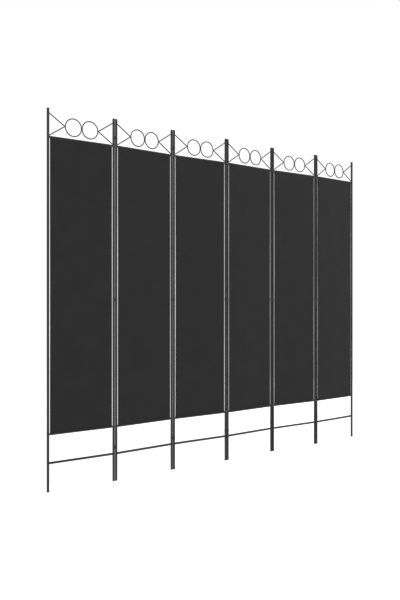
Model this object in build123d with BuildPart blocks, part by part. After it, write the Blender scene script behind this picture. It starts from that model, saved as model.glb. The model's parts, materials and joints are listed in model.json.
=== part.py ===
from build123d import *
from math import cos, radians, sin, tan
import os

# A six-panel folding screen. Each panel is a light steel frame with a cloth stretched between
# two rods. Neighbouring panels stand post to post and turn in springy double clips.
#
# Frame: millimetres, X along the screen from panel 1 to panel 6, front towards -Y, Z up.
# The origin is on the floor, under the middle of the screen.
#
# Every panel is alike, so its pieces are made once, in a frame of its own: X from its left post
# to its right, Z up, and the origin on the floor midway between the posts. A set of clips has
# such a frame too, midway between the two posts that it joins.

# ---- Driving dimensions ----

panel_count = 6
panel_pitch = 400.0  # one panel's left post to the next panel's, with the screen straight
zigzag_angle = 2.0  # degrees, each panel to the screen's line; quite straight, it falls over
screen_height = 2000.0  # floor to the tops of the post caps

post_diameter = 12.0
post_wall = 0.7
pair_spacing = 15.6  # between the axes of the two posts that share hinge clips

rod_diameter = 8.0
rod_wall = 0.7
rod_insert_length = 14.0  # the tapped insert in each end of a cloth rod
top_rod_height = 1850.0
bottom_rod_height = 300.0
crossbar_diameter = 10.0
crossbar_wall = 0.7
crossbar_height = 150.0

wire_diameter = 4.0
ring_diameter = 93.0  # to the middle of the wire
ring_height = 1916.3
vee_half_angle = 33.3  # degrees, each leg to the horizontal
vee_bend_radius = 2.2  # to the middle of the wire
weld_gap = 0.05  # hairline between the wires where a weld bead joins them

cloth_thickness = 0.8
cloth_play = 0.35  # between a rod and the pocket round it
cloth_side_gap = 5.3  # between the cloth's side edge and the post

screw_diameter = 3.9  # M4, over the thread
screw_length = 20.0  # under the head
screw_head_diameter = 7.0
screw_head_height = 1.4  # two heads pass each other between the posts of a pair
screw_head_rounding = 0.84
screw_hole_diameter = 4.3
tapped_hole_diameter = 4.0
recess_width = 0.9
recess_span = 4.0
recess_depth = 0.8

foot_height = 6.0  # the part of a foot that shows below the post
foot_chamfer = 0.8
cap_height = 3.0  # the part of a top cap that shows above the post
cap_rounding = 2.4
plug_length = 14.0  # the part of a foot or cap inside the post
plug_play = 0.05

clip_heights = (185.0, 1000.0, 1895.0)
clip_height = 17.0
clip_wall = 0.9
clip_play = 0.05  # running clearance round a post
clip_web = 5.0  # thickness of the block between the two posts
clip_mouth_half_angle = 60.0
clip_lip_rounding = 0.35

# ---- Worked-out dimensions ----

post_radius = post_diameter / 2
post_bore_radius = post_radius - post_wall
post_spacing = panel_pitch - pair_spacing
post_length = screen_height - foot_height - cap_height
rod_radius = rod_diameter / 2
wire_radius = wire_diameter / 2
post_axis = post_spacing / 2  # X of the right post's axis in the panel's frame
rod_heights = (top_rod_height, bottom_rod_height)
step_along_x = post_spacing * cos(radians(zigzag_angle)) + pair_spacing
LEFT = -1
RIGHT = 1


def panel_turn(panel):
    """The angle of a panel, counted from 1, to the screen's line."""
    return zigzag_angle if panel % 2 == 0 else -zigzag_angle


def panel_place(panel):
    """Where a panel's own frame stands in the screen's."""
    centre_x = (panel - (panel_count + 1) / 2) * step_along_x
    return Location((centre_x, 0, 0), (0, 0, panel_turn(panel)))


def clips_place(pair):
    """Where the frame of the clips between panel `pair` and the next stands."""
    centre_x = (pair - panel_count / 2) * step_along_x
    return Location((centre_x, post_axis * sin(radians(panel_turn(pair))), 0))


def save(part, name, place):
    """Puts a finished sub-part in its place, names it and writes its STEP file."""
    placed = part.moved(place)
    placed.label = name
    export_step(placed, f"parts/{name}.step")


# ---- The frame ----


def make_post(side):
    """A round tube, cross-drilled where the two cloth rods are screwed to it."""
    axis_x = side * post_axis
    with BuildPart() as post:
        with BuildSketch(Plane.XY.offset(foot_height)):
            with Locations((axis_x, 0)):
                Circle(post_radius)
                Circle(post_bore_radius, mode=Mode.SUBTRACT)
        extrude(amount=post_length)
        with BuildSketch(Plane.YZ.offset(axis_x)):
            with Locations(*[(0, height) for height in rod_heights]):
                Circle(screw_hole_diameter / 2)
        extrude(amount=post_diameter, both=True, mode=Mode.SUBTRACT)
    return post.part


def cope_to_posts(height):
    """Shapes the ends of the current cross tube to the round sides of both posts."""
    with Locations((-post_axis, 0, height), (post_axis, 0, height)):
        Cylinder(post_radius, 3 * crossbar_diameter, mode=Mode.SUBTRACT)


def make_cloth_rod(height):
    """A tube with a tapped insert swaged into each end, which a screw draws to the post."""
    insert_start = post_axis - post_radius - rod_insert_length
    bore_radius = rod_radius - rod_wall
    tapped_radius = tapped_hole_diameter / 2
    with BuildPart() as rod:
        with BuildSketch(Plane(origin=(0, 0, height), x_dir=(1, 0, 0), z_dir=(0, -1, 0))):
            with BuildLine():
                Polyline(
                    (-post_axis, tapped_radius),
                    (-post_axis, rod_radius),
                    (post_axis, rod_radius),
                    (post_axis, tapped_radius),
                    (insert_start, tapped_radius),
                    (insert_start, bore_radius),
                    (-insert_start, bore_radius),
                    (-insert_start, tapped_radius),
                    close=True,
                )
            make_face()
        revolve(axis=Axis((0, 0, height), (1, 0, 0)))
        cope_to_posts(height)
    return rod.part


def make_crossbar():
    """A plain tube between the posts, coped at both ends for welding."""
    with BuildPart() as crossbar:
        with BuildSketch(Plane.YZ):
            with Locations((0, crossbar_height)):
                Circle(crossbar_diameter / 2)
                Circle(crossbar_diameter / 2 - crossbar_wall, mode=Mode.SUBTRACT)
        extrude(amount=post_axis, both=True)
        cope_to_posts(crossbar_height)
    return crossbar.part


def make_ornament():
    """Two rings side by side, held to the posts by a bent vee of wire on each side."""
    ring_radius = ring_diameter / 2
    ring_outer_radius = ring_radius + wire_radius
    slope = radians(vee_half_angle)
    tip = post_axis - 2 * ring_outer_radius - 2 * weld_gap
    vertex = tip - wire_radius + vee_bend_radius * (1 / sin(slope) - 1)
    rise = vertex * tan(slope)
    with BuildPart() as ornament:
        ring_x = ring_outer_radius + weld_gap / 2
        with Locations((-ring_x, 0, ring_height), (ring_x, 0, ring_height)):
            Torus(ring_radius, wire_radius, rotation=(90, 0, 0))
        for side in (LEFT, RIGHT):
            post_x = side * post_axis
            with BuildLine() as vee:
                FilletPolyline(
                    (post_x, 0, ring_height + rise),
                    (post_x - side * vertex, 0, ring_height),
                    (post_x, 0, ring_height - rise),
                    radius=vee_bend_radius,
                )
            with BuildSketch(Plane(origin=vee.line @ 0, z_dir=vee.line % 0)):
                Circle(wire_radius)
            sweep(path=vee.line)
            with Locations((post_x, 0, ring_height)):
                Cylinder(post_radius, 4 * rise, mode=Mode.SUBTRACT)
    return ornament.part


# ---- The cloth ----


def make_fabric():
    """A sheet with a pocket round each rod, cut short of the posts by a narrow gap."""
    pocket_bore_radius = rod_radius + cloth_play
    pocket_radius = pocket_bore_radius + cloth_thickness
    half_width = post_axis - post_radius - cloth_side_gap
    sheet_height = top_rod_height - bottom_rod_height
    pocket_places = [(0, height) for height in rod_heights]
    with BuildPart() as fabric:
        with BuildSketch(Plane.YZ):
            with Locations((0, bottom_rod_height + sheet_height / 2)):
                Rectangle(cloth_thickness, sheet_height)
            with Locations(*pocket_places):
                Circle(pocket_radius)
            with Locations(*pocket_places):
                Circle(pocket_bore_radius, mode=Mode.SUBTRACT)
        extrude(amount=half_width, both=True)
    return fabric.part


# ---- Fasteners, caps and hinges ----


def make_rod_screws():
    """Four pan-head screws, each through a post and into the end of a cloth rod."""
    with BuildPart() as screws:
        for side in (LEFT, RIGHT):
            for height in rod_heights:
                seat_x = side * (post_axis + post_radius)
                seat = Plane(origin=(seat_x, 0, height), x_dir=(0, 1, 0), z_dir=(side, 0, 0))
                with BuildSketch(seat):
                    Circle(screw_head_diameter / 2)
                extrude(amount=screw_head_height)
                with BuildSketch(seat):
                    Circle(screw_diameter / 2)
                extrude(amount=-screw_length)
        by_x = screws.edges().filter_by(GeomType.CIRCLE).group_by(Axis.X)
        fillet(by_x[0] + by_x[-1], radius=screw_head_rounding)
        for side in (LEFT, RIGHT):
            head_top_x = side * (post_axis + post_radius + screw_head_height)
            with BuildSketch(Plane.YZ.offset(head_top_x)):
                with Locations(*[(0, height) for height in rod_heights]):
                    Rectangle(recess_width, recess_span)
                    Rectangle(recess_span, recess_width)
            extrude(amount=-side * recess_depth, mode=Mode.SUBTRACT)
    return screws.part


def make_end_caps():
    """Two feet and two top caps, each a plug pushed into the end of a post."""
    plug_radius = post_bore_radius - plug_play
    post_places = [(-post_axis, 0), (post_axis, 0)]
    post_top = foot_height + post_length
    with BuildPart() as end_caps:
        with BuildSketch(Plane.XY):
            with Locations(*post_places):
                Circle(post_radius)
        extrude(amount=foot_height)
        chamfer(end_caps.edges().group_by(Axis.Z)[0], length=foot_chamfer)
        with BuildSketch(Plane.XY.offset(foot_height)):
            with Locations(*post_places):
                Circle(plug_radius)
        extrude(amount=plug_length)
        with BuildSketch(Plane.XY.offset(post_top)):
            with Locations(*post_places):
                Circle(post_radius)
        extrude(amount=cap_height)
        fillet(end_caps.edges().group_by(Axis.Z)[-1], radius=cap_rounding)
        with BuildSketch(Plane.XY.offset(post_top)):
            with Locations(*post_places):
                Circle(plug_radius)
        extrude(amount=-plug_length)
    return end_caps.part


def make_hinge_clips():
    """Three springy clips, each with a C round either post of a pair."""
    clip_bore_radius = post_radius + clip_play
    clip_radius = clip_bore_radius + clip_wall
    mouth_width = 2 * clip_bore_radius * sin(radians(clip_mouth_half_angle))
    post_places = [(-pair_spacing / 2, 0), (pair_spacing / 2, 0)]
    mouth_x = pair_spacing / 2 + clip_radius
    with BuildPart() as clips:
        for height in clip_heights:
            with BuildSketch(Plane.XY.offset(height - clip_height / 2)):
                with Locations(*post_places):
                    Circle(clip_radius)
                Rectangle(pair_spacing, clip_web)
                with Locations(*post_places):
                    Circle(clip_bore_radius, mode=Mode.SUBTRACT)
                with Locations((-mouth_x, 0), (mouth_x, 0)):
                    Rectangle(2 * clip_radius, mouth_width, mode=Mode.SUBTRACT)
            extrude(amount=clip_height)
        upright_edges = clips.edges().filter_by(Axis.Z).group_by(Axis.X)
        fillet(upright_edges[0] + upright_edges[-1], radius=clip_lip_rounding)
    return clips.part


# ---- Writing the screen ----

os.makedirs("parts", exist_ok=True)

panel_pieces = {
    "left_post": make_post(LEFT),
    "right_post": make_post(RIGHT),
    "top_rod": make_cloth_rod(top_rod_height),
    "bottom_rod": make_cloth_rod(bottom_rod_height),
    "crossbar": make_crossbar(),
    "ornament": make_ornament(),
    "fabric": make_fabric(),
    "rod_screws": make_rod_screws(),
    "end_caps": make_end_caps(),
}
for panel in range(1, panel_count + 1):
    for name, part in panel_pieces.items():
        save(part, f"{name}_{panel}", panel_place(panel))

hinge_clips = make_hinge_clips()
for pair in range(1, panel_count):
    save(hinge_clips, f"hinge_clips_{pair}", clips_place(pair))
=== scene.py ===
import json
from math import acos, atan2, cos, hypot, pi, radians, sin, tan, tau

import bpy
import numpy as np
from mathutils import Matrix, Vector


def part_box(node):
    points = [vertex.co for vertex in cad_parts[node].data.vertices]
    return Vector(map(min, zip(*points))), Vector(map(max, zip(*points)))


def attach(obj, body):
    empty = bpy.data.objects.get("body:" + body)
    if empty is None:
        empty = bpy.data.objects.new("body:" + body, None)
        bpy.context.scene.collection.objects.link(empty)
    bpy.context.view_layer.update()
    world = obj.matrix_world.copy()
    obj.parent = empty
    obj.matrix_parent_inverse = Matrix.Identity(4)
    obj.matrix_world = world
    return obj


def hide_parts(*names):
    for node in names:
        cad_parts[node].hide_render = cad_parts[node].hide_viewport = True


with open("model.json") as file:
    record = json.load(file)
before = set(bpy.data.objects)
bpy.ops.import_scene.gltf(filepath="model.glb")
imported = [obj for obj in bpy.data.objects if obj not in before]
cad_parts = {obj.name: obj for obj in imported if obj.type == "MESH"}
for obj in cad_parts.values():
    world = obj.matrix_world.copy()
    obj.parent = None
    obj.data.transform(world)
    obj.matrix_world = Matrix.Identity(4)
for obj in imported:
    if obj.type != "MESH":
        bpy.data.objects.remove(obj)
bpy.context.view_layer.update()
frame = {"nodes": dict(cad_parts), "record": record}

# The looks of a six-panel folding screen: cloth stretched between rods in black steel frames.
# Metres, X along the screen, front towards -Y, Z up. The frames, caps, clips and screws keep their CAD
# meshes. The cloth, its hems and stitches, and the weld beads are made here, each panel's in a frame of
# its own: X from its left post to its right, and the origin on the floor midway between them.

PANELS = range(1, 7)
LEFT = -1
RIGHT = 1
FRONT = -1
BACK = 1

# ---- Cloth ----
CLOTH = 0.0004  # thickness
SIDE_GAP = 0.0053  # from a post to the cloth's side edge
LAYER_GAP = 0.00005  # half the air between two layers sewn together
POCKET_PLAY = 0.00005  # between a rod and the cloth round it
POCKET_DEPTH = 0.0125  # from a rod's axis to the seam that closes its pocket
FLAP = 0.008  # the pocket's raw edge, past the seam
HEM_WIDTH = 0.012  # the side edges, turned once to the back
HEM_BULGE = 0.0003  # how far the middle of a turned hem rises over its edges
HEM_SEAM = 0.009  # from the side edge to the hem's stitches
EDGE_BOW = 0.0007  # how far a side edge is drawn in at half height
COLUMN_WIDTH = 0.0072  # a face of the cloth's mesh, across the sheet
ROW_HEIGHT = 0.013  # and along it
ARC_POINTS = 16  # of the mesh round a rod
RUN_STEPS = 4  # of the mesh along each straight run of a rod pocket
HEM_POINTS = 6  # of the mesh across a hem
HEM_FLATNESS = 0.6  # the power that broadens the top of a hem's bulge
HEM_END = 0.001  # from the raw edge of a rod pocket to the end of a hem

# ---- The folds that its tension leaves in the cloth ----
FOLD_SEED = 40
TAUT_STRIP = 0.012  # beside each seam, where only the small tucks begin
FOLD_ONSET = 0.25  # from that strip to where the folds have their full height
LONG_WAVE = 0.210  # from one long fold to the next
LONG_HEIGHT = 0.0005
LONG_LEAN = 1.6  # the most that a long fold moves aside from the bottom to the top, in radians
SHORT_WAVE = 0.083
SHORT_HEIGHT = 0.00025
SHORT_LEAN = 2.5
CURL_HEIGHT = 0.0005  # how far the side edges sway to and fro
CURL_WAVES = 1.5  # from the bottom to the top
CURL_NARROWNESS = 6  # the power that keeps the sway close to the edges
BILLOW = 0.0011  # the most that the sheet bellies out in its middle
TUCK_WAVE = 0.019  # from one of the small tucks along a seam to the next
TUCK_HEIGHT = 0.00016
TUCK_REACH = 0.045  # how far from the seam they have faded to about a third
UNEVEN_WAVE = 0.13  # the tucks crowd and spread along this length,
UNEVEN_SHIFT = 1.3  # by this many radians

# ---- Stitches ----
STITCH_PITCH = 0.004
STITCH_LENGTH = 0.003
THREAD = 0.0004  # diameter
THREAD_SIDES = 4
SEAM_END = 0.002  # from the end of a row of stitches to a side edge, or to a pocket's raw edge
STITCH_SHAPE = (  # at its ends and shoulders: share of its length, rise and width in radii of the thread
    (-0.5, -0.9, 0.35),
    (-0.22, 0.35, 1.0),
    (0.22, 0.35, 1.0),
    (0.5, -0.9, 0.35),
)

# ---- Welds ----
RING_RADIUS = 0.0465  # to the middle of the wire
WIRE_RADIUS = 0.002
VEE_SLOPE = radians(33.3)
VEE_POINT = 0.0005  # from a ring's outside to about where the axes of a vee's two legs would meet
BAR_BEAD = 0.0013  # radius of the bead round a crossbar's end
WIRE_BEAD = 0.0009  # and round a wire's end
BEAD_SIDES = 10
BEAD_STEPS = 36  # round the tube or wire
RIPPLE = 0.12  # the height of a bead's ripples, as a share of its radius
RIPPLES_ROUND = 9
SWELL = 0.07  # and of its slower swells
SWELLS_ROUND = 4
RING_NUGGET = (0.0014, 0.0011, 0.0062)  # half sizes of each weld between two rings
TIP_NUGGET = (0.0016, 0.0021, 0.0034)  # and between a ring and a vee
NUGGET_RINGS = 11
NUGGET_SIDES = 14
NUGGET_END = 0.12  # radians from its pole to its flat end
NUGGET_RIPPLE = 0.08  # the height of the ripples along a nugget, as a share of its width
NUGGET_RIPPLES = 11
NUGGET_LOBE = 0.05  # and of the lobes round it
NUGGET_LOBES = 3
NUGGET_STAND = 0.6  # from the rings' plane to a weld between two rings, in radii of the wire

# ---- Colours, mostly the darkest and the palest of a material ----
COAT_BLACKS = ((0.0065, 0.0065, 0.0070), (0.0100, 0.0100, 0.0105))
DUST = (0.075, 0.07, 0.064)
PLASTIC_BLACKS = ((0.0160, 0.0160, 0.0165), (0.0240, 0.0240, 0.0245))
ZINC_GREYS = ((0.34, 0.34, 0.35), (0.52, 0.52, 0.53))
CLOTH_BLACKS = ((0.0130, 0.0130, 0.0135), (0.0190, 0.0190, 0.0195))
# painted shade: the colour of the hollows between the weave's threads
WEAVE_PAINTED_SHADE = (0.006, 0.006, 0.006)
THREAD_BLACKS = ((0.010, 0.010, 0.0105), (0.024, 0.024, 0.0245))
FLOOR_GREYS = ((0.24, 0.24, 0.24), (0.26, 0.26, 0.26))
WHITE = (1, 1, 1, 1)

# ---- Finishes ----
WEAVE_PITCH = 0.0007  # from one thread of the weave to the next
THREAD_ROUNDNESS = 0.4  # the power that sets how soon a thread dips under the next
DUST_HEIGHT = 0.12  # how far up from the floor the frame is dusty
NOISE_SPAN = (0.3, 0.7)  # the values of a noise that give a finish its extremes
SLUB_SPAN = (0.35, 0.65)  # and those of the mean of two noises

# ---- View ----
EYE_PAST_END = 1.537  # from the first post's axis, away from the screen
EYE_DISTANCE = 3.330  # in front of the first post's axis
EYE_HEIGHT = 1.013
LOOK_TURN = radians(37.23)  # from square on, towards the far end
LENS = 41.30
SENSOR = 36.0  # millimetres, like LENS
SHIFT = -0.0042  # puts the horizon above the middle, by this share of the picture's height

# ---- Light ----
ROOM_LIGHT = 0.35  # the white room's strength as a lamp, while the camera sees it at 1
FLOOR_HALF = 40.0
FLOOR_GLOW = 0.93  # the floor is a light table, which leaves hardly a shadow on it
LAMPS = (  # name, place, width, height, watts
    ("key", (2.6, -2.8, 2.4), 2.4, 2.4, 66),
    ("front_strip", (-3.4, -2.4, 1.7), 0.5, 3.0, 45),
    ("rim", (-2.4, 3.2, 3.0), 2.4, 2.4, 50),
    ("back_strip", (3.4, 2.6, 1.7), 0.5, 3.0, 45),
)
LAMPS_AIM = (0, 0, 1)
FILM_BLACK = 0.06  # the film curve leaves light below this, the screen's blacks, as it is
FILM_POINTS = 10
FILM_CROWDING = 1.5  # the power that crowds the curve's points towards black


def middle(node):
    """The centre of a CAD node's box."""
    low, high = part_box(node)
    return (low + high) / 2


def half_height(node):
    """Half a CAD node's extent along Z, which is the radius of a tube that lies level."""
    low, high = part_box(node)
    return (high.z - low.z) / 2


class Panel:
    """Where one panel stands, and the sizes of its frame."""

    def __init__(self, number):
        self.number = number
        left, right = (middle(f"{side}_post_{number}") for side in ("left", "right"))
        self.centre = ((left.x + right.x) / 2, (left.y + right.y) / 2)
        self.turn = atan2(right.y - left.y, right.x - left.x)
        self.post_axis = hypot(right.x - left.x, right.y - left.y) / 2
        low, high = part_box(f"left_post_{number}")
        self.post_radius = (high.x - low.x) / 2
        self.edge = self.post_axis - self.post_radius - SIDE_GAP
        self.rod_top, self.rod_bottom = (middle(f"{end}_rod_{number}").z for end in ("top", "bottom"))
        self.rod_radius = half_height(f"top_rod_{number}")
        self.bar_height = middle(f"crossbar_{number}").z
        self.bar_radius = half_height(f"crossbar_{number}")
        self.ring_height = middle(f"ornament_{number}").z

    def put(self, points):
        """Points in the panel's frame, as points in the row frame."""
        x, y, z = np.asarray(points, float).T
        cosine = cos(self.turn)
        sine = sin(self.turn)
        row_x = self.centre[0] + x * cosine - y * sine
        row_y = self.centre[1] + x * sine + y * cosine
        return np.column_stack([row_x, row_y, z])


# ======== Materials ========


class Surface:
    """A material with one Principled shader, and short calls that add the nodes behind it."""

    def __init__(self, name, **sockets):
        self.material = bpy.data.materials.new(name)
        self.material.use_nodes = True
        self.tree = self.material.node_tree
        self.shader = self.tree.nodes["Principled BSDF"]
        for socket, value in sockets.items():
            self.shader.inputs[socket.replace("_", " ")].default_value = value

    def node(self, kind, inputs=(), **settings):
        """Adds a node. Each input is a number, a colour or another node's output."""
        made = self.tree.nodes.new("ShaderNode" + kind)
        for setting, value in settings.items():
            setattr(made, setting, value)
        for key, value in dict(inputs).items():
            if isinstance(value, bpy.types.NodeSocket):
                self.tree.links.new(value, made.inputs[key])
            else:
                made.inputs[key].default_value = value
        return made

    def place(self):
        """The point in the row frame, which rides with its body."""
        return self.node("TexCoord").outputs["Object"]

    def math(self, operation, *values, clamp=False):
        """The result of one Math node, whose values are numbers or other nodes' outputs."""
        made = self.node("Math", enumerate(values), operation=operation, use_clamp=clamp)
        return made.outputs[0]

    def remap(self, value, span, to):
        """Lays a value evenly from one span onto another, and holds it there."""
        inputs = {
            "Value": value,
            "From Min": span[0],
            "From Max": span[1],
            "To Min": to[0],
            "To Max": to[1],
        }
        return self.node("MapRange", inputs).outputs["Result"]

    def noise(self, where, scale, detail, stretch=(1, 1, 1)):
        """Noise of about 1/scale metres, longer along an axis whose stretch is under 1."""
        moved = self.node("Mapping", {"Vector": where, "Scale": [scale * s for s in stretch]})
        inputs = {"Vector": moved.outputs[0], "Scale": 1.0, "Detail": detail}
        return self.node("TexNoise", inputs).outputs["Fac"]

    def blend(self, share, first, second):
        """A colour between two, by a share from 0 to 1."""
        made = self.node("Mix", {"Factor": share}, data_type="RGBA")
        for socket, colour in zip(("A", "B"), (first, second)):
            target = next(i for i in made.inputs if i.name == socket and i.type == "RGBA")
            if isinstance(colour, bpy.types.NodeSocket):
                self.tree.links.new(colour, target)
            else:
                target.default_value = (*colour, 1.0)
        return next(o for o in made.outputs if o.type == "RGBA")

    def feed(self, socket, value):
        """Links an output to a socket of the shader."""
        self.tree.links.new(value, self.shader.inputs[socket])

    def bump(self, height, depth, strength):
        """Gives the surface a relief of this depth in metres, from a height between 0 and about 1."""
        inputs = {"Height": height, "Distance": depth, "Strength": strength}
        self.feed("Normal", self.node("Bump", inputs).outputs["Normal"])


def powder_coat():
    """Satin black powder coat on steel: fine orange peel, handling marks, and dust near the floor."""
    coat = Surface("powder_coat", Specular_IOR_Level=0.22)
    place = coat.place()
    grain = coat.noise(place, scale=1400, detail=3)
    marks = coat.noise(place, scale=60, detail=5, stretch=(1, 1, 0.25))
    height = coat.node("SeparateXYZ", {"Vector": place}).outputs["Z"]
    near_floor = coat.remap(height, (0.0, DUST_HEIGHT), to=(1.0, 0.0))
    dust = coat.math("MULTIPLY", near_floor, coat.remap(marks, (0.45, 0.75), to=(0.0, 0.5)))
    black = coat.blend(marks, *COAT_BLACKS)
    coat.feed("Base Color", coat.blend(dust, black, DUST))
    coat.feed("Roughness", coat.remap(marks, NOISE_SPAN, to=(0.27, 0.40)))
    coat.bump(grain, depth=0.00006, strength=0.8)
    return coat.material


def moulded_plastic():
    """Black nylon with a fine spark-eroded texture."""
    plastic = Surface("moulded_plastic", Specular_IOR_Level=0.3)
    place = plastic.place()
    texture = plastic.noise(place, scale=2600, detail=2)
    rubbed = plastic.noise(place, scale=180, detail=4)
    plastic.feed("Base Color", plastic.blend(rubbed, *PLASTIC_BLACKS))
    plastic.feed("Roughness", plastic.remap(rubbed, NOISE_SPAN, to=(0.5, 0.68)))
    plastic.bump(texture, depth=0.00004, strength=0.7)
    return plastic.material


def zinc_plate():
    """Bright zinc on the screws, slightly clouded."""
    zinc = Surface("zinc_plate", Metallic=1.0)
    place = zinc.place()
    cloud = zinc.noise(place, scale=900, detail=4)
    zinc.feed("Base Color", zinc.blend(cloud, *ZINC_GREYS))
    zinc.feed("Roughness", zinc.remap(cloud, NOISE_SPAN, to=(0.28, 0.45)))
    zinc.bump(cloud, depth=0.00002, strength=0.5)
    return zinc.material


def woven_cloth():
    """Black polyester in a plain weave, with painted shade in the hollows between its threads. The
    threads follow the cloth by its own map, in metres.
    """
    cloth = Surface("woven_cloth", Specular_IOR_Level=0.10, Sheen_Weight=0.2, Sheen_Roughness=0.35)
    flat = cloth.node("UVMap", uv_map="flat").outputs["UV"]
    across, along, _ = cloth.node("SeparateXYZ", {"Vector": flat}).outputs
    warp_wave = cloth.math("SINE", cloth.math("MULTIPLY", across, pi / WEAVE_PITCH))
    weft_wave = cloth.math("SINE", cloth.math("MULTIPLY", along, pi / WEAVE_PITCH))
    warp_round = cloth.math("ABSOLUTE", warp_wave)
    weft_round = cloth.math("ABSOLUTE", weft_wave)
    warp_over = cloth.math("GREATER_THAN", cloth.math("MULTIPLY", warp_wave, weft_wave), 0.0)
    warp_crown = cloth.math("MULTIPLY", warp_round, cloth.math("POWER", weft_round, THREAD_ROUNDNESS))
    weft_crown = cloth.math("MULTIPLY", weft_round, cloth.math("POWER", warp_round, THREAD_ROUNDNESS))
    weft_over = cloth.math("SUBTRACT", 1.0, warp_over)
    weave = cloth.math(
        "ADD",
        cloth.math("MULTIPLY", warp_crown, warp_over),
        cloth.math("MULTIPLY", weft_crown, weft_over),
    )
    warp_slub = cloth.noise(flat, scale=900, detail=3, stretch=(1, 0.05, 1))
    weft_slub = cloth.noise(flat, scale=900, detail=3, stretch=(0.05, 1, 1))
    slub = cloth.math("MULTIPLY", cloth.math("ADD", warp_slub, weft_slub), 0.5)
    cloudy = cloth.noise(flat, scale=7, detail=3)
    tone = cloth.math(
        "ADD",
        cloth.remap(slub, SLUB_SPAN, to=(0.0, 0.6)),
        cloth.remap(cloudy, NOISE_SPAN, to=(0.0, 0.4)),
        clamp=True,
    )
    dark = cloth.blend(tone, *CLOTH_BLACKS)
    # painted shade: the colour darkens towards this where the threads dip under each other, deepest in
    # the hollows
    painted_shade = cloth.remap(weave, (0.0, 0.55), to=(0.35, 0.0))
    cloth.feed("Base Color", cloth.blend(painted_shade, dark, WEAVE_PAINTED_SHADE))
    cloth.feed("Roughness", cloth.remap(slub, SLUB_SPAN, to=(0.72, 0.86)))
    relief = cloth.math("ADD", weave, cloth.math("MULTIPLY", slub, 0.6))
    cloth.bump(relief, depth=0.00022, strength=0.8)
    return cloth.material


def sewing_thread():
    """Black twisted polyester thread, a little glossier than the cloth."""
    thread = Surface("sewing_thread", Specular_IOR_Level=0.4)
    twist = thread.noise(thread.place(), scale=5000, detail=1)
    thread.feed("Base Color", thread.blend(twist, *THREAD_BLACKS))
    thread.feed("Roughness", thread.remap(twist, NOISE_SPAN, to=(0.45, 0.6)))
    thread.bump(twist, depth=0.00005, strength=0.8)
    return thread.material


def floor_paint():
    """A plain, nearly white studio floor."""
    paint = Surface("floor_paint", Specular_IOR_Level=0.1, Emission_Strength=FLOOR_GLOW)
    tint = paint.noise(paint.place(), scale=1.5, detail=4)
    paint.feed("Base Color", paint.blend(tint, *FLOOR_GREYS))
    paint.feed("Roughness", paint.remap(tint, NOISE_SPAN, to=(0.8, 0.9)))
    return paint.material


# ======== Mesh helpers ========


def mesh_piece(name, points, faces, material, uv=None):
    """A smooth mesh in the row frame. uv gives each point's place on the flat cloth, in metres."""
    mesh = bpy.data.meshes.new(name)
    mesh.from_pydata([tuple(p) for p in points], [], [tuple(f) for f in faces])
    mesh.shade_smooth()
    if uv is not None:
        layer = mesh.uv_layers.new(name="flat")
        corners = np.empty(len(mesh.loops), np.int32)
        mesh.loops.foreach_get("vertex_index", corners)
        layer.uv.foreach_set("vector", np.asarray(uv, np.float32)[corners].ravel())
    mesh.materials.append(material)
    piece = bpy.data.objects.new(name, mesh)
    bpy.context.scene.collection.objects.link(piece)
    return piece


def grid_faces(rows, columns, closed_rows=False, closed_columns=False):
    """The quads of a grid of points stored row by row, which may close on itself either way."""
    faces = []
    for row in range(rows if closed_rows else rows - 1):
        for column in range(columns if closed_columns else columns - 1):
            below = (row + 1) % rows
            beside = (column + 1) % columns
            corners = [(row, column), (below, column), (below, beside), (row, beside)]
            faces.append([i * columns + j for i, j in corners])
    return faces


def joined(parts):
    """Several (points, faces) as one."""
    points = []
    faces = []
    count = 0
    for some_points, some_faces in parts:
        points.append(np.asarray(some_points, float))
        faces += [[i + count for i in face] for face in some_faces]
        count += len(some_points)
    return np.vstack(points), faces


def thicken(piece):
    """Gives a sheet the cloth's thickness, half to each side."""
    solid = piece.modifiers.new("thickness", "SOLIDIFY")
    solid.thickness = CLOTH
    solid.offset = 0.0
    solid.use_even_offset = True


# ======== Cloth panels ========


def pocket_path(rod_radius):
    """The top end of the cloth round its rod, as (y, height over the rod's axis), from the raw edge at
    the back, over the rod, to the seam at the front. Both layers meet at the seam, below the rod."""
    wrap = rod_radius + POCKET_PLAY + CLOTH / 2
    layer = CLOTH / 2 + LAYER_GAP
    leave = acos(wrap / hypot(layer, POCKET_DEPTH)) + atan2(layer, POCKET_DEPTH)
    turn = np.linspace(leave, tau - leave, ARC_POINTS)
    arc = np.column_stack([wrap * np.sin(turn), -wrap * np.cos(turn)])
    raw_edge = np.array([layer, -POCKET_DEPTH - FLAP])
    back_seam = np.array([layer, -POCKET_DEPTH])
    front_seam = np.array([-layer, -POCKET_DEPTH])
    share = np.linspace(0, 1, RUN_STEPS + 1)[:, None]
    flap = raw_edge + share[:-1] * (back_seam - raw_edge)
    back = back_seam + share[:-1] * (arc[0] - back_seam)
    front = arc[-1] + share[1:] * (front_seam - arc[-1])
    return np.vstack([flap, back, arc, front])


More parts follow.
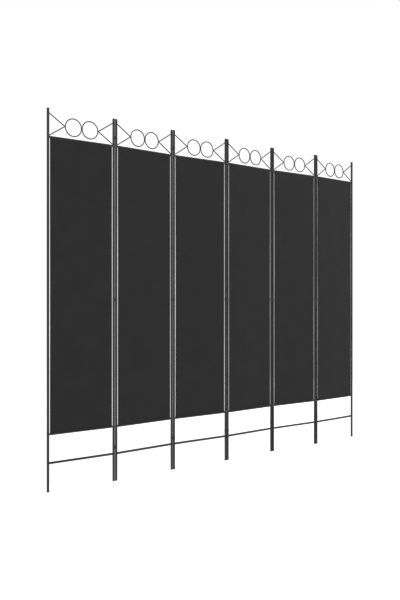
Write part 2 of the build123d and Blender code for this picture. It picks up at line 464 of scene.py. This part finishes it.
class Sheet:
    """One panel's cloth: where it lies, and the slight folds that its tension leaves in it."""

    def __init__(self, panel):
        self.panel = panel
        self.seam_top = panel.rod_top - POCKET_DEPTH
        self.seam_bottom = panel.rod_bottom + POCKET_DEPTH
        draw = np.random.default_rng(FOLD_SEED + panel.number)
        self.phase = draw.uniform(0, tau, 6)
        self.lean = draw.uniform(-1, 1, 3)

    def place(self, x, z):
        """(x, y) of the sheet's middle layer at a point of the flat cloth, between the two seams."""
        up = (z - self.seam_bottom) / (self.seam_top - self.seam_bottom)
        up = np.clip(up, 0, 1)
        across = x / self.panel.edge
        bowed = x * (1 - EDGE_BOW / self.panel.edge * 4 * up * (1 - up))
        from_seam = np.minimum(z - self.seam_bottom, self.seam_top - z)
        slack = np.clip((from_seam - TAUT_STRIP) / FOLD_ONSET, 0, 1)
        slack = slack * slack * (3 - 2 * slack)
        pull = np.clip(from_seam / TAUT_STRIP, 0, 1) * np.exp(-np.clip(from_seam, 0, None) / TUCK_REACH)
        long_fold = np.sin(tau * x / LONG_WAVE + self.phase[0] + self.lean[0] * LONG_LEAN * up)
        short_fold = np.sin(tau * x / SHORT_WAVE + self.phase[1] + self.lean[1] * SHORT_LEAN * up)
        billow = np.sin(pi * up) * (1 - across**2)
        curl = across**CURL_NARROWNESS * np.sin(tau * CURL_WAVES * up + self.phase[2])
        uneven = UNEVEN_SHIFT * np.sin(tau * x / UNEVEN_WAVE + self.phase[4])
        tuck = np.sin(tau * x / TUCK_WAVE + self.phase[3] + uneven)
        y = slack * (LONG_HEIGHT * long_fold + SHORT_HEIGHT * short_fold + CURL_HEIGHT * curl)
        y = y + BILLOW * self.lean[2] * billow + TUCK_HEIGHT * pull * tuck
        return bowed, y - (CLOTH / 2 + LAYER_GAP)


def cloth_panel(sheet, material):
    """The sheet, from its raw top edge at the back, round the top rod, down, and round the bottom rod.
    Also gives the length that it was cut to."""
    panel = sheet.panel
    top = pocket_path(panel.rod_radius)
    rows = int((sheet.seam_top - sheet.seam_bottom) / ROW_HEIGHT)
    plain = np.linspace(sheet.seam_top, sheet.seam_bottom, rows + 1)[1:-1]
    bottom = (top * (1, -1))[::-1]
    columns = int(2 * panel.edge / COLUMN_WIDTH) + 1
    x = np.linspace(-panel.edge, panel.edge, columns)
    path = np.vstack([
        top + (0, panel.rod_top),
        np.column_stack([np.full(len(plain), top[-1][0]), plain]),
        bottom + (0, panel.rod_bottom),
    ])
    run = np.r_[0, np.cumsum(np.hypot(*np.diff(path, axis=0).T))]
    grid_x, grid_z = np.meshgrid(x, path[:, 1])
    shaped_x, shaped_y = sheet.place(grid_x, grid_z)
    in_plain = np.zeros(len(path), bool)
    in_plain[len(top):-len(bottom)] = True
    grid_y = np.where(in_plain[:, None], shaped_y, path[:, :1])
    points = panel.put(np.stack([shaped_x, grid_y, grid_z], axis=-1).reshape(-1, 3))
    uv = np.column_stack([grid_x.ravel(), np.repeat(run, columns)])
    faces = grid_faces(len(path), columns)
    piece = mesh_piece(f"cloth_panel_{panel.number}", points, faces, material, uv)
    thicken(piece)
    return piece, run[-1]


def hem_lift(share):
    """How far a hem stands behind the sheet, at a share of the hem's width from the side edge."""
    return CLOTH + LAYER_GAP + HEM_BULGE * np.sin(pi * share) ** HEM_FLATNESS


def side_hems(sheet, material):
    """The two side edges, turned to the back as narrow flat folds."""
    low = sheet.seam_bottom + FLAP
    high = sheet.seam_top - FLAP
    heights = np.linspace(low + HEM_END, high - HEM_END, int((high - low) / ROW_HEIGHT))
    share = np.linspace(0, 1, HEM_POINTS)
    parts = []
    flat = []
    for side in (LEFT, RIGHT):
        grid_x, grid_z = np.meshgrid(side * (sheet.panel.edge - share * HEM_WIDTH), heights)
        x, y = sheet.place(grid_x, grid_z)
        points = np.stack([x, y + hem_lift(share), grid_z], axis=-1).reshape(-1, 3)
        faces = grid_faces(len(heights), len(share))
        parts.append((points, faces if side == LEFT else [face[::-1] for face in faces]))
        flat.append(np.column_stack([grid_x.ravel(), grid_z.ravel()]))
    points, faces = joined(parts)
    points = sheet.panel.put(points)
    piece = mesh_piece(f"side_hems_{sheet.panel.number}", points, faces, material, np.vstack(flat))
    thicken(piece)
    return piece


# ======== Stitches ========


def stitches(points, along, out):
    """A stitch at each point: a short arch of thread along the seam, whose ends dip into the cloth."""
    across = np.cross(along, out)
    radius = THREAD / 2
    ring = [(cos(a), sin(a)) for a in (np.arange(THREAD_SIDES) + 0.5) * tau / THREAD_SIDES]
    shape = np.array([
        along * (reach * STITCH_LENGTH) + radius * ((rise + wide * up) * out + wide * side * across)
        for reach, rise, wide in STITCH_SHAPE
        for side, up in ring
    ])
    faces = grid_faces(len(STITCH_SHAPE), THREAD_SIDES, closed_columns=True)
    faces.append(list(range(THREAD_SIDES))[::-1])
    faces.append(list(range(len(shape) - THREAD_SIDES, len(shape))))
    first_points = np.arange(len(points))[:, None, None] * len(shape)
    all_points = (np.asarray(points)[:, None] + shape[None]).reshape(-1, 3)
    all_faces = (np.array(faces)[None] + first_points).reshape(-1, THREAD_SIDES)
    return all_points, all_faces.tolist()


def seam_places(start, end):
    """The middles of the stitches along a seam from start to end."""
    count = int((end - start) / STITCH_PITCH)
    return start + (np.arange(count) + 0.5) * (end - start) / count


def stitching(sheet, material):
    """All the seams of one panel: across under each rod, and down each side hem, front and back."""
    layer = CLOTH / 2 + LAYER_GAP
    x_axis, y_axis, z_axis = np.eye(3)
    parts = []
    edge = sheet.panel.edge
    across = seam_places(SEAM_END - edge, edge - SEAM_END)
    for height in (sheet.seam_top, sheet.seam_bottom):
        for face in (FRONT, BACK):
            y = np.full(len(across), face * (layer + CLOTH / 2))
            places = np.column_stack([across, y, np.full(len(across), height)])
            parts.append(stitches(places, x_axis, face * y_axis))
    up = seam_places(sheet.seam_bottom + FLAP + SEAM_END, sheet.seam_top - FLAP - SEAM_END)
    lift = hem_lift(HEM_SEAM / HEM_WIDTH) + CLOTH / 2
    for side in (LEFT, RIGHT):
        x, y = sheet.place(np.full(len(up), side * (edge - HEM_SEAM)), up)
        parts.append(stitches(np.column_stack([x, y - CLOTH / 2, up]), z_axis, -y_axis))
        parts.append(stitches(np.column_stack([x, y + lift, up]), z_axis, y_axis))
    points, faces = joined(parts)
    return mesh_piece(f"stitching_{sheet.panel.number}", sheet.panel.put(points), faces, material)


# ======== Weld beads ========


def bead(line, normals, radius, phase):
    """A closed bead of weld along a loop of points, with the ripples that each pass leaves."""
    line = np.asarray(line)
    ahead = np.roll(line, -1, axis=0) - np.roll(line, 1, axis=0)
    ahead /= np.linalg.norm(ahead, axis=1)[:, None]
    out = np.asarray(normals)
    out = out - (out * ahead).sum(1)[:, None] * ahead
    out /= np.linalg.norm(out, axis=1)[:, None]
    side = np.cross(ahead, out)
    around = np.linspace(0, tau, len(line), endpoint=False)
    ripple = RIPPLE * np.sin(RIPPLES_ROUND * around + phase)
    swell = SWELL * np.sin(SWELLS_ROUND * around + 2 * phase)
    size = radius * (1 + ripple + swell)
    turn = np.linspace(0, tau, BEAD_SIDES, endpoint=False)[None, :, None]
    section = np.cos(turn) * out[:, None] + np.sin(turn) * side[:, None]
    points = line[:, None] + size[:, None, None] * section
    faces = grid_faces(len(line), BEAD_SIDES, closed_rows=True, closed_columns=True)
    return points.reshape(-1, 3), faces


def saddle_weld(panel, side, height, slope, tube_radius, radius):
    """The bead where a tube or wire meets the inner side of the left or right post. Its axis meets the
    post's at height, and climbs at slope on its way to the middle of the panel."""
    post = side * panel.post_axis
    around = np.linspace(0, tau, BEAD_STEPS, endpoint=False)
    forward = np.array([-side * cos(slope), 0, sin(slope)])
    upward = np.array([side * sin(slope), 0, cos(slope)])
    reach = np.sqrt(panel.post_radius**2 - (tube_radius * np.sin(around)) ** 2)
    along = (reach + tube_radius * np.cos(around) * sin(slope)) / cos(slope)
    round_tube = np.cos(around)[:, None] * upward + np.sin(around)[:, None] * np.array([0, 1, 0])
    line = np.array([post, 0, height]) + along[:, None] * forward + tube_radius * round_tube
    from_post = (line - [post, 0, 0]) * [1, 1, 0] / panel.post_radius
    phase = 7 * height + 3 * post + slope  # so that the beads of a panel don't all ripple alike
    return bead(line, round_tube + from_post, radius, phase)


def nugget(centre, half, phase):
    """A lump of weld, longer along Z, rippled along its length."""
    latitude = np.linspace(NUGGET_END, pi - NUGGET_END, NUGGET_RINGS)[:, None]
    turn = np.linspace(0, tau, NUGGET_SIDES, endpoint=False)[None]
    ripple = NUGGET_RIPPLE * np.sin(NUGGET_RIPPLES * latitude + phase)
    lobe = NUGGET_LOBE * np.sin(NUGGET_LOBES * turn + phase)
    wide = 1 + ripple + lobe
    body = np.stack([
        half[0] * np.sin(latitude) * np.cos(turn) * wide,
        half[1] * np.sin(latitude) * np.sin(turn) * wide,
        half[2] * np.cos(latitude) * np.ones_like(turn),
    ], axis=-1).reshape(-1, 3)
    faces = grid_faces(NUGGET_RINGS, NUGGET_SIDES, closed_columns=True)
    faces.append(list(range(NUGGET_SIDES))[::-1])
    faces.append(list(range(len(body) - NUGGET_SIDES, len(body))))
    return body + np.asarray(centre), faces


def weld_beads(panel, material):
    """All the welds of one panel: crossbar to posts, wires to posts, wires to rings, ring to ring."""
    parts = []
    ring_z = panel.ring_height
    tip = 2 * RING_RADIUS + 2 * WIRE_RADIUS
    rise = (panel.post_axis - tip - VEE_POINT) * tan(VEE_SLOPE)
    for side in (LEFT, RIGHT):
        parts.append(saddle_weld(panel, side, panel.bar_height, 0.0, panel.bar_radius, BAR_BEAD))
        for up in (1, -1):
            leg = ring_z + up * rise
            parts.append(saddle_weld(panel, side, leg, -up * VEE_SLOPE, WIRE_RADIUS, WIRE_BEAD))
        parts.append(nugget((side * tip, 0, ring_z), TIP_NUGGET, panel.number + side))
    for face in (FRONT, BACK):
        centre = (0, face * NUGGET_STAND * WIRE_RADIUS, ring_z)
        parts.append(nugget(centre, RING_NUGGET, 2 * panel.number + face))
    points, faces = joined(parts)
    return mesh_piece(f"weld_beads_{panel.number}", panel.put(points), faces, material)


# ======== Studio ========


def pale_floor():
    """A flat floor far larger than the view."""
    half = FLOOR_HALF
    corners = [(-half, -half, 0), (half, -half, 0), (half, half, 0), (-half, half, 0)]
    floor = mesh_piece("floor", corners, [(0, 1, 2, 3)], floor_paint())


def white_room():
    """An even white surround, which lights the screen less brightly than the camera sees it."""
    world = bpy.data.worlds.new("studio")
    world.use_nodes = True
    nodes = world.node_tree.nodes
    links = world.node_tree.links
    seen = nodes["Background"]
    seen.inputs["Color"].default_value = WHITE
    lit = nodes.new("ShaderNodeBackground")
    lit.inputs["Color"].default_value = WHITE
    lit.inputs["Strength"].default_value = ROOM_LIGHT
    choice = nodes.new("ShaderNodeMixShader")
    links.new(nodes.new("ShaderNodeLightPath").outputs["Is Camera Ray"], choice.inputs["Fac"])
    links.new(lit.outputs[0], choice.inputs[1])
    links.new(seen.outputs[0], choice.inputs[2])
    links.new(choice.outputs[0], nodes["World Output"].inputs["Surface"])
    bpy.context.scene.world = world


def soft_lamps():
    """Large lamps all round, which the camera doesn't see."""
    for name, place, width, height, power in LAMPS:
        lamp = bpy.data.lights.new(name, "AREA")
        lamp.shape = "RECTANGLE"
        lamp.size = width
        lamp.size_y = height
        lamp.energy = power
        holder = bpy.data.objects.new(name, lamp)
        holder.location = place
        holder.visible_camera = False
        aim = Vector(LAMPS_AIM) - Vector(place)
        holder.rotation_euler = aim.to_track_quat("-Z", "Y").to_euler()
        bpy.context.scene.collection.objects.link(holder)


def srgb(light):
    """The picture's value, from 0 to 1, of an amount of light, by the sRGB standard."""
    return 12.92 * light if light < 0.0031308 else 1.055 * light ** (1 / 2.4) - 0.055


def light_of(value):
    """The amount of light that the picture's value stands for, by the same standard."""
    return value / 12.92 if value < 0.04045 else ((value + 0.055) / 1.055) ** 2.4


def film_curve():
    """Lays the picture's values evenly from black up to white, so that a thin dark tube keeps its full
    weight against the white room."""
    view = bpy.context.scene.view_settings
    view.view_transform = "Standard"
    view.use_curve_mapping = True
    curve = view.curve_mapping.curves[3]  # the one for all three colours together
    black = srgb(FILM_BLACK)
    for step in range(FILM_POINTS):
        share = (step / FILM_POINTS) ** FILM_CROWDING
        light = FILM_BLACK + share * (1 - FILM_BLACK)
        curve.points.new(light, light_of(black + share * (1 - black)))
    view.curve_mapping.update()


def camera():
    """An eye level with the middle of the screen's height, off its near end and looking along it."""
    data = bpy.data.cameras.new("camera")
    data.lens = LENS
    data.sensor_width = SENSOR
    data.shift_y = SHIFT
    eye = bpy.data.objects.new("camera", data)
    end = middle("left_post_1")
    eye.location = (end.x - EYE_PAST_END, end.y - EYE_DISTANCE, EYE_HEIGHT)
    eye.rotation_euler = (pi / 2, 0, -LOOK_TURN)
    bpy.context.scene.collection.objects.link(eye)
    bpy.context.scene.camera = eye


# ======== The screen ========

coat = powder_coat()
plastic = moulded_plastic()
zinc = zinc_plate()
weave = woven_cloth()
thread = sewing_thread()
finishes = {"frame": coat, "plastic": plastic, "screws": zinc, "cloth": weave}

camera()
pale_floor()
white_room()
soft_lamps()
film_curve()

for part in frame["record"]["subparts"]:
    node = frame["nodes"][part["node"]]
    for holder in node.material_slots:
        holder.material = finishes[part["material_slot"]]

for number in PANELS:
    panel = Panel(number)
    sheet = Sheet(panel)
    body = f"panel_{number}"
    cloth, cut_length = cloth_panel(sheet, weave)
    hems = side_hems(sheet, weave)
    sewing = stitching(sheet, thread)
    welds = weld_beads(panel, coat)
    for piece, slot in ((cloth, "cloth"), (hems, "cloth"), (sewing, "cloth"), (welds, "frame")):
        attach(piece, body)
    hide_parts(f"fabric_{number}")
